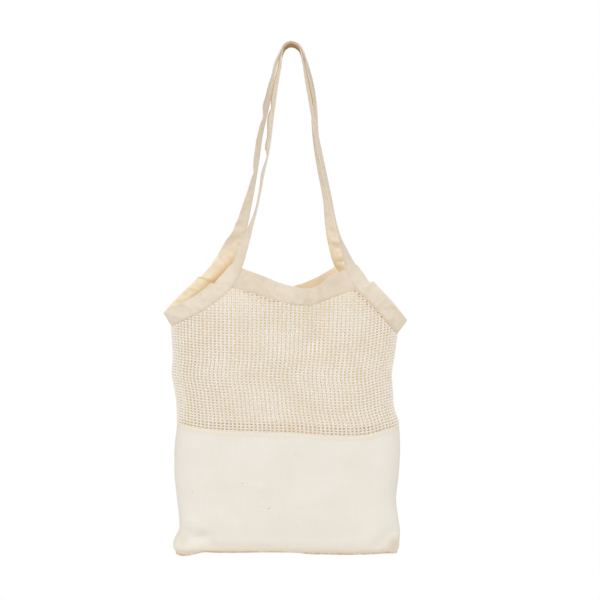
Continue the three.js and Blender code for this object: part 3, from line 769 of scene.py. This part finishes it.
def make_canvas():
    places, faces, uvs = [], [], []
    rows = CANVAS_ROWS + BASE_ROWS
    corners = cell_corners(CANVAS_COLUMNS, rows)
    for side in SIDES:
        side_places, side_uvs = canvas_side(side)
        side_faces = np.stack([a * (rows + 1) + b for a, b in corners], 1)[:, ::-side]
        faces.append(side_faces + sum(len(p) for p in places))
        uvs.append(side_uvs.reshape(-1, 2)[side_faces.ravel()])
        places.append(side_places.reshape(-1, 3))
    piece = new_object("canvas_lower_half", *map(np.concatenate, (places, faces, uvs)), canvas_cotton)
    rework(piece.data, lambda work: bmesh.ops.remove_doubles(work, verts=work.verts, dist=MERGE * MM))
    wall = piece.modifiers.new("cloth thickness", "SOLIDIFY")
    wall.thickness, wall.offset = CANVAS_WALL * MM, 0.0
    return make_plain(piece)


canvas = make_canvas()
print("canvas:", triangles(canvas), "triangles")

# %% [markdown]
# ## Net
# The net is knitted: upright chains, each a thick soft cord, joined at every few millimetres by short
# bars, so that the gaps are rounded oblongs in straight columns. A see-through image would be quick
# but flat from the side. Here a wire of edges is laid on the bag's wall, and Geometry Nodes turn the
# upright edges and the level edges into cords of two thicknesses. A point attribute makes the cords
# thicker at each crossing and thinner where they go under the bands.

# %% Height of the mouth, which cuts off the net
MOUTH_SAMPLES = 60


def mouth_reader(strip, hem):
    share = np.linspace(0, 1, MOUTH_SAMPLES)
    left = strip_edge(strip, share * LEFT_FOOT)[:, [0, 2]]
    right = strip_edge(strip, RIGHT_FOOT + share * (LAST_ROW - RIGHT_FOOT))[:, [0, 2]]
    places = np.concatenate([left, hem["low"](share[1:-1]), right])
    across = across_at(places[:, 0], places[:, 1])
    return lambda at: np.interp(at, across, places[:, 1])


print(f"middle of the front mouth at {mouth_reader(strips[FRONT], hem_shapes[FRONT])(0.0):.0f} mm")

# %% Where the crossings of the net lie
NET_COLUMNS, NET_ROW_PITCH = 64, 4.05
SIDE_COLUMNS, RAY_ROUNDS = 7.5, 12
# the back cords drift on two waves, whose lengths are in columns and rows
DRIFT, WAVE_LENGTHS, WAVE_SHIFT = 0.4, [(7.3, 9.1), (11.7, -6.3)], 0.8
EYE = np.array([15, -1400, -384])


def front_crossing(column, row):
    """Place across and height of a crossing on the front panel; rows are counted up from the seam."""
    across = evenly(column / NET_COLUMNS)
    return across, seam_z(across) + row * NET_ROW_PITCH


def back_crossing(column, row):
    """The same on the back panel. As the bag is seen in the picture, its cords fill the front gaps.
    Towards the side seams they are evenly apart."""
    inner = np.clip(column, SIDE_COLUMNS, NET_COLUMNS - SIDE_COLUMNS)
    one, other = (inner / wide + row / tall for wide, tall in WAVE_LENGTHS)
    sway = DRIFT * np.sin(one) * np.sin(other + WAVE_SHIFT)
    ray = wall_place(FRONT, *front_crossing(inner, row + sway)) - EYE
    deep = np.full(ray.shape[:-1], -EYE[1])
    for _ in range(RAY_ROUNDS):
        hit = EYE + ray * (deep / ray[..., 1])[..., None]
        across = across_at(hit[..., 0], hit[..., 2])
        deep = wall_place(BACK, across, hit[..., 2])[..., 1] - EYE[1]
    share = np.interp(across, turns, lengths / PANEL_WIDTH)
    share += (np.where(column < inner, 0.0, 1.0) - share) * np.abs(column - inner) / SIDE_COLUMNS
    return evenly(share), hit[..., 2]


print("net pitch in mm:", round(PANEL_WIDTH / NET_COLUMNS, 2), "across and", NET_ROW_PITCH, "up")

# %% The wire of a net panel
KNOT, MIDDLE, END, END_GAP = 1.1, 0.9, 0.5, 0.2
TUCK_LOW, TUCK_TOP, TUCK_DEPTH, TUCK_RUN = 3.5, 3.0, 1.3, 6.0
NET_JITTER, BAR_LIFT = 0.09, 0.5
ROWS_DOWN, ROWS_UP = -6, 62


def net_wire(strip, hem, crossing, columns, first, seed):
    """Places, edges, which edges are bars, and the thickness at each place."""
    side, draw = strip["side"], np.random.default_rng(seed)
    mouth = mouth_reader(strip, hem)
    levels = np.arange(ROWS_DOWN + first, ROWS_UP, 0.5)
    places, edges, bars, thick = [], [], [], []

    def lay(across, z, size, out=0.0):
        place = wall_place(side, across, z)
        above, below = (np.clip(gap / TUCK_RUN, 0, 1) for gap in (z - seam_z(across), mouth(across) - z))
        place[1] += side * (SEWN_SLIT + out - TUCK_DEPTH * ((1 - above) ** 2 + (1 - below) ** 2))
        places.append(place + draw.normal(0, NET_JITTER, 3) * (1, 0.5, 1))
        thick.append(size)
        return len(places) - 1

    knots = []
    for column in columns:
        across, z = crossing(np.full(levels.shape, column), levels)
        low, top = seam_z(across) - TUCK_LOW, mouth(across) + TUCK_TOP
        ends = [np.interp(0, gap, levels) for gap in (z - low, z - top)]
        marks = [k for k in range(len(levels)) if ends[0] + END_GAP < levels[k] < ends[1] - END_GAP]
        here = [lay(np.interp(ends[0], levels, across), np.interp(ends[0], levels, z), END)]
        here += [lay(across[k], z[k], MIDDLE if k % 2 else KNOT) for k in marks]
        here += [lay(np.interp(ends[1], levels, across), np.interp(ends[1], levels, z), END)]
        edges += list(zip(here, here[1:]))
        bars += [False] * (len(here) - 1)
        knots.append({k: number for k, number in zip(marks, here[1:]) if k % 2 == 0})
    for i in range(len(columns) - 1):
        middle = (columns[i] + columns[i + 1]) / 2
        across, z = crossing(np.full(levels.shape, middle), levels)
        for k in sorted(knots[i].keys() & knots[i + 1].keys()):
            number = lay(across[k], z[k], MIDDLE, BAR_LIFT)
            edges += [(knots[i][k], number), (number, knots[i + 1][k])]
            bars += [True, True]
    return np.array(places), edges, bars, thick


# %% Helpers for the geometry node trees
ATTRIBUTE = "GeometryNodeInputNamedAttribute"


def group_tree(name, inputs):
    """A geometry node tree with a geometry in and out, and named inputs."""
    tree = bpy.data.node_groups.new(name, "GeometryNodeTree")
    for label, kind in ({"Geometry": "Geometry"} | inputs).items():
        tree.interface.new_socket(label, in_out="INPUT", socket_type=f"NodeSocket{kind}")
    tree.interface.new_socket("Geometry", in_out="OUTPUT", socket_type="NodeSocketGeometry")
    return tree, add(tree, "NodeGroupInput").outputs


def finish_tree(tree, geometry, material):
    smooth = add(tree, "GeometryNodeSetShadeSmooth", geometry)
    real = add(tree, "GeometryNodeRealizeInstances", smooth)
    dressed = add(tree, "GeometryNodeSetMaterial", Geometry=real, Material=material)
    add(tree, "NodeGroupOutput", dressed)
    return tree


def run_tree(piece, tree, values):
    """Runs a node tree on a piece, with its inputs set by their identifiers, and keeps the mesh."""
    modifier = piece.modifiers.new(tree.name, "NODES")
    modifier.node_group = tree
    for socket in tree.interface.items_tree:
        if socket.in_out == "INPUT" and socket.name in values:
            modifier[socket.identifier] = values[socket.name]
    return make_plain(piece)


# %% A node tree that turns the wire into cords
def cord_tree():
    tree, given = group_tree("net cords", {"Chain radius": "Float", "Bar radius": "Float",
                                           "Sides": "Int", "Yarn": "Material"})
    is_bar = add(tree, ATTRIBUTE, Name="bar", data_type="BOOLEAN")
    is_chain = add(tree, "FunctionNodeBooleanMath", is_bar, operation="NOT")
    thick = add(tree, ATTRIBUTE, Name="thick", data_type="FLOAT")
    joined = add(tree, "GeometryNodeJoinGeometry")
    for chosen, radius in ((is_chain, "Chain radius"), (is_bar, "Bar radius")):
        line = add(tree, "GeometryNodeMeshToCurve", Mesh=given["Geometry"], Selection=chosen)
        ring = add(tree, "GeometryNodeCurvePrimitiveCircle", Resolution=given["Sides"], Radius=given[radius])
        cord = add(tree, "GeometryNodeCurveToMesh", Curve=line, Scale=thick)
        fill(cord, {"Profile Curve": ring, "Fill Caps": True})
        fill(joined, {0: cord})
    return finish_tree(tree, joined, given["Yarn"])


NET_CORDS = cord_tree()
print("node tree:", NET_CORDS.name, "with", len(NET_CORDS.nodes), "nodes")

# %% Make the two net panels
CHAIN_RADIUS, BAR_RADIUS, CORD_SIDES = 1.42, 1.02, 6


def make_net(side, *layout):
    places, edges, bars, thick = net_wire(strips[side], hem_shapes[side], *layout)
    name = f"net_panel_{SIDES[side]}"
    mesh = bpy.data.meshes.new(name)
    mesh.from_pydata((places * MM).tolist(), edges, [])
    mesh.attributes.new("bar", "BOOLEAN", "EDGE").data.foreach_set("value", bars)
    mesh.attributes.new("thick", "FLOAT", "POINT").data.foreach_set("value", thick)
    return run_tree(show(name, mesh), NET_CORDS, {
        "Chain radius": CHAIN_RADIUS * MM, "Bar radius": BAR_RADIUS * MM, "Sides": CORD_SIDES,
        "Yarn": net_yarn})


front_columns = np.arange(NET_COLUMNS + 1.0)
back_columns = np.concatenate([[0], np.arange(NET_COLUMNS) + 0.5, [NET_COLUMNS]])
nets = {FRONT: make_net(FRONT, front_crossing, front_columns, 0.0, 11),
        BACK: make_net(BACK, back_crossing, back_columns, 0.5, 12)}
print("nets:", [triangles(net) for net in nets.values()], "triangles")

# %% [markdown]
# ## Bands and handles
# A band is cloth folded double, so its edges are round and a line of stitches near the sewn edge
# pinches it. A flat plate with a bevel would miss the pinch and the slight puff between. Each strip
# is made as rings around its middle layer, whose half thickness changes across the width.

# %% The section of a doubled band
BAND_SHARES = (1 - np.cos(np.linspace(0, np.pi, 17))) / 2
STITCH_SHARE, PINCH, PINCH_REACH = 0.09, 0.35, 0.03
EDGE_POWER, EDGE_PUFF, MIDDLE_PUFF, SHARE_STEP = 9, 0.85, 0.3, 0.01


def band_half(share):
    """Half the thickness of a doubled band, by the place across it."""
    rounding = np.clip(1 - np.abs(2 * share - 1) ** EDGE_POWER, 0, 1) ** (1 / 2)
    pinch = 1 - PINCH * np.exp(-(((share - STITCH_SHARE) / PINCH_REACH) ** 2))
    puff = EDGE_PUFF + MIDDLE_PUFF * np.sin(np.pi * share)
    return BAND_WALL / 2 * rounding * pinch * puff


def band_facing(place, side, along, share, step):
    """The way out of the middle layer of a band."""
    run = place(along + step, share) - place(along - step, share)
    wide = place(along, share + SHARE_STEP) - place(along, share - SHARE_STEP)
    return -side * unit(np.cross(run, wide))


print(f"a band is {2 * band_half(0.5):.1f} mm thick, and {2 * band_half(STITCH_SHARE):.1f} mm at its stitches")

# %% Skin of a band, from rings around its middle layer
END_ROUNDING, THIN_END = 1.5, 0.02


def make_band(name, place, side, along, step):
    grid, shares = along[:, None], BAND_SHARES[None, :]
    middle = place(grid, shares)
    gone = gone_along(middle[:, len(BAND_SHARES) // 2])
    ends = np.clip(np.minimum(gone, gone[-1] - gone) / END_ROUNDING, THIN_END, 1) ** (1 / 2)
    half = band_half(shares) * ends[:, None]
    lift = band_facing(place, side, grid, shares, step) * half[..., None]
    rings = np.concatenate([middle + lift, (middle - lift)[:, -2:0:-1]], 1)
    count, around = rings.shape[:2]
    start = 0 if side == FRONT else BACK_CLOTH
    wide = np.concatenate([BAND_SHARES, 2 - BAND_SHARES[-2::-1]]) * STRIP_WIDTH
    corners = cell_corners(count - 1, around)
    faces = np.stack([a * around + b % around for a, b in corners], 1)
    uvs = np.stack([np.stack([start + gone[a], wide[b]], -1) for a, b in corners], 1).reshape(-1, 2)
    caps = [np.arange(around)[::-1], (count - 1) * around + np.arange(around)]
    uvs = np.concatenate([uvs, rings[0][::-1, [0, 2]], rings[-1][:, [0, 2]]])
    piece = new_object(name, rings.reshape(-1, 3), [*faces, *caps], uvs, band_cotton)
    rework(piece.data, lambda work: bmesh.ops.recalc_face_normals(work, faces=work.faces))
    print(f"{name}: {gone[-1]:.0f} mm long, {triangles(piece)} triangles")
    return piece, gone[-1]


# %% Make the straps
# Rings are closer at the rounded ends and along the pleats.
SEAM_END, RINGS, FINE_STEP = 0.004, 301, 0.04
END_ROWS = np.array([0, 0.003, 0.008, 0.015, 0.024, 0.035]) + SEAM_END
FINE_ROWS = [END_ROWS, np.arange(0.4, 4.4, FINE_STEP), np.arange(24, 28.8, FINE_STEP), LAST_ROW - END_ROWS]
even_rows = np.linspace(SEAM_END, LAST_ROW - SEAM_END, RINGS)
strap_rows = np.unique(np.round(np.concatenate([even_rows, *FINE_ROWS]), 4))
strap_places = {side: partial(strip_place, strips[side]) for side in SIDES}
straps = {side: make_band(f"strap_strip_{end}", strap_places[side], side, strap_rows, TINY)
          for side, end in SIDES.items()}

# %% Make the hems, with their ends tucked into the straps
HEM_TUCK, HEM_EASE, HEM_SINK, HEM_STEP = 0.022, 0.48, 2.05, 0.004
HEAD_HOLD, SLOPE_STEP, HEM_RINGS = 0.9, 0.01, 121
hem_shares = np.linspace(-HEM_TUCK, 1 + HEM_TUCK, HEM_RINGS)


def hem_cloth(hem, share, up):
    """Places on a hem that runs on beyond its ends and sinks between the layers of the straps there."""
    inner = np.clip(share, 0.0, 1.0)
    before, after = (hem_place(hem, np.clip(inner + step, 0, 1), up) for step in (-SLOPE_STEP, SLOPE_STEP))
    past = (share - inner) * (1 - HEAD_HOLD * up**2)
    place = hem_place(hem, inner, up) + (after - before) / SLOPE_STEP * past[..., None]
    sunk = (np.abs(share - 0.5) + HEM_TUCK - HEM_EASE) / (0.5 + 2 * HEM_TUCK - HEM_EASE)
    place[..., 1] += hem["strip"]["side"] * HEM_SINK * np.clip(sunk, 0, 1) ** 3
    return place


hem_places = {side: partial(hem_cloth, hem_shapes[side]) for side in SIDES}
hems = {side: make_band(f"hem_band_{end}", hem_places[side], side, hem_shares, HEM_STEP)
        for side, end in SIDES.items()}

# %% [markdown]
# ## Stitches
# A line of lockstitch holds each band closed, a few millimetres from its sewn edge. The photograph
# also shows a tan line along the far edge of the front handle, at its grip, which is sewn here as a
# second row, of thicker thread. A dashed bump would leave no shape in the mesh, so each stitch is
# real: a small flattened bead. Geometry Nodes put one bead on every point of a path and turn it
# along the seam, and the same tree serves all.

# %% A node tree for a row of stitches
ALIGN = "FunctionNodeAlignRotationToVector"


def stitch_tree():
    tree, given = group_tree("row of stitches", {"Size": "Vector", "Thread": "Material"})
    bead = add(tree, "GeometryNodeMeshUVSphere", Segments=6, Rings=4, Radius=0.5)
    along, out = (add(tree, ATTRIBUTE, Name=name, data_type="FLOAT_VECTOR") for name in ("along", "out"))
    turn = add(tree, ALIGN, Vector=along, axis="X", pivot_axis="AUTO")
    turn = add(tree, ALIGN, Rotation=turn, Vector=out, axis="Z", pivot_axis="X")
    beads = add(tree, "GeometryNodeInstanceOnPoints", Points=given["Geometry"], Instance=bead,
                Rotation=turn, Scale=given["Size"])
    return finish_tree(tree, beads, given["Thread"])


STITCHES = stitch_tree()
print("node tree:", STITCHES.name, "with", len(STITCHES.nodes), "nodes")

# %% Points of a stitch line along a band, on its outer and inner face
STITCH_PITCH, LINE_SAMPLES = 3.2, 1500


def stitch_points(place, side, ends, step, across):
    along = np.linspace(*ends, LINE_SAMPLES)
    gone = gone_along(place(along, np.full(along.shape, across)))
    at = np.interp(np.arange(STITCH_PITCH / 2, gone[-1], STITCH_PITCH), gone, along)
    share = np.full(at.shape, across)
    middle, out = place(at, share), band_facing(place, side, at, share, step)
    run = unit(place(at + step, share) - place(at - step, share))
    faces = [(middle + out * way * band_half(across), run, out * way) for way in (1, -1)]
    return [np.concatenate(part) for part in zip(*faces)]


# %% Sew the straps and the hems
# length, width and height of a stitch
STITCH_SIZE, GRIP_SIZE = (2.5, 1.0, 0.8), (3.2, 2.1, 2.7)
STRAP_ENDS, HEM_ENDS, GRIP_ENDS, GRIP_SHARE = (0.1, LAST_ROW - 0.1), (0.0, 1.0), (8.9, 19.8), 0.86


def make_stitches(name, place, side, ends, step, across=STITCH_SHARE, size=STITCH_SIZE, thread=sewing_thread):
    places, run, out = stitch_points(place, side, ends, step, across)
    mesh = bpy.data.meshes.new(name)
    mesh.from_pydata((places * MM).tolist(), [], [])
    for label, vectors in (("along", run), ("out", out)):
        mesh.attributes.new(label, "FLOAT_VECTOR", "POINT").data.foreach_set("vector", vectors.ravel())
    return run_tree(show(name, mesh), STITCHES, {"Size": Vector(size) * MM, "Thread": thread})


seams = {}
for side, end in SIDES.items():
    seams["strap", side] = make_stitches(f"strap_stitches_{end}", strap_places[side], side, STRAP_ENDS, TINY)
    seams["hem", side] = make_stitches(f"hem_stitches_{end}", hem_places[side], side, HEM_ENDS, HEM_STEP)
    if side == FRONT:
        seams["grip", side] = make_stitches("grip_stitches", strap_places[side], side, GRIP_ENDS, TINY,
                                            GRIP_SHARE, GRIP_SIZE, tan_thread)
print("stitch rows:", [(piece.name, triangles(piece)) for piece in seams.values()])

# %% [markdown]
# ## Tie the pieces to the frame
# Each piece of cloth stands for one CAD node, and the rows of stitches only ride along. The bag has
# no joints, so all ride on the root body.

# %% Ride and replace
def settle(piece, node):
    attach(piece, "root")
    if node:
        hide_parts(node)


settle(canvas, "canvas_body")
for side, end in SIDES.items():
    settle(nets[side], f"net_{end}")
for side, end in SIDES.items():
    settle(straps[side][0], f"strap_{end}")
    settle(hems[side][0], f"hem_{end}")
for seam in seams.values():
    settle(seam, None)
print("pieces settled:", 1 + len(nets) + len(straps) + len(hems) + len(seams))

# %% [markdown]
# ## Floor, light and camera
# The bag hangs clear of a plain pale floor, in front of white. A single lamp would throw hard shadows
# through the net. Large soft lights keep the cotton bright and nearly without shadow, and an even,
# faintly warm light from all around keeps the inside of the bag from going dark.

# %% Floor
# Matt paint, with a faint grain, gives an even pale ground.
FLOOR_Z, FLOOR_RADIUS, FLOOR_GRAIN_MM = -1.05, 0.62, 25


def make_floor():
    mesh = bpy.data.meshes.new("floor")
    rework(mesh, lambda work: bmesh.ops.create_circle(work, cap_ends=True, segments=96, radius=FLOOR_RADIUS))
    for corner in mesh.vertices:
        corner.co.z = FLOOR_Z
    material, shader, put = new_material("pale floor paint", 0.8, 0.0)
    at = put(COORDINATES).outputs["Object"]
    grain = put(NOISE, Vector=at, Scale=1 / (FLOOR_GRAIN_MM * MM), Detail=3.0)
    fill(shader, {"Base Color": put(MIX, Factor=grain, A="#f6f1e8", B="#f1ebe0", data_type="RGBA")})
    mesh.materials.append(material)
    show("floor", mesh)


make_floor()
print("floor at", FLOOR_Z, "m")

# %% Lights
# name, place, width, power in watts, colour
LIGHTS = [
    ("key", (-1.75, -1.75, 0.9), 1.8, 30.5, "#f6f8ff"),
    ("fill", (1.75, -1.75, 0.7), 1.8, 21, "#f6f8ff"),
    ("front", (0.0, -2.8, -0.2), 1.6, 10, "#f6f8ff"),
    ("left side", (-2.4, 0.0, 0.5), 1.6, 6, "#f6f8ff"),
    ("right side", (2.4, 0.0, 0.5), 1.6, 9, "#f6f8ff"),
    ("back", (0.3, 2.6, 0.9), 1.8, 30, "#ffffff"),
]
AIM = Vector((0, 0, -0.45))
for name, place, width, power, colour in LIGHTS:
    light = bpy.data.lights.new(name, "AREA")
    light.size, light.energy, light.color = width, power, linear(colour)[:3]
    lamp = show(name, light)
    lamp.location = place
    lamp.rotation_euler = (AIM - Vector(place)).to_track_quat("-Z", "Y").to_euler()
print(len(LIGHTS), "soft lights")

# %% Surroundings: white to the eye, an even light on the cloth
world = bpy.data.worlds.new("white studio")
world.use_nodes = True
sky = world.node_tree
sky.nodes.clear()
seen = add(sky, "ShaderNodeBackground", "#ffffff", 1.0)
felt = add(sky, "ShaderNodeBackground", "#fffcf8", 0.55)
ray = add(sky, "ShaderNodeLightPath").outputs["Is Camera Ray"]
add(sky, "ShaderNodeOutputWorld", add(sky, "ShaderNodeMixShader", ray, felt, seen))
bpy.context.scene.world = world
bpy.context.scene.view_settings.view_transform = "Standard"
print("surroundings:", world.name)

# %% Camera, level with the middle of the picture
camera_data = bpy.data.cameras.new("camera")
camera_data.sensor_width, camera_data.lens = 36, 56
camera = show("camera", camera_data)
camera.location = EYE * MM
camera.rotation_euler = (math.radians(90), 0, 0)
bpy.context.scene.camera = camera
print("camera", tuple(camera.location))

# %% [markdown]
# ## Size
# The dressed bag has to keep the CAD part's size.

# %% Finish
bpy.context.view_layer.update()
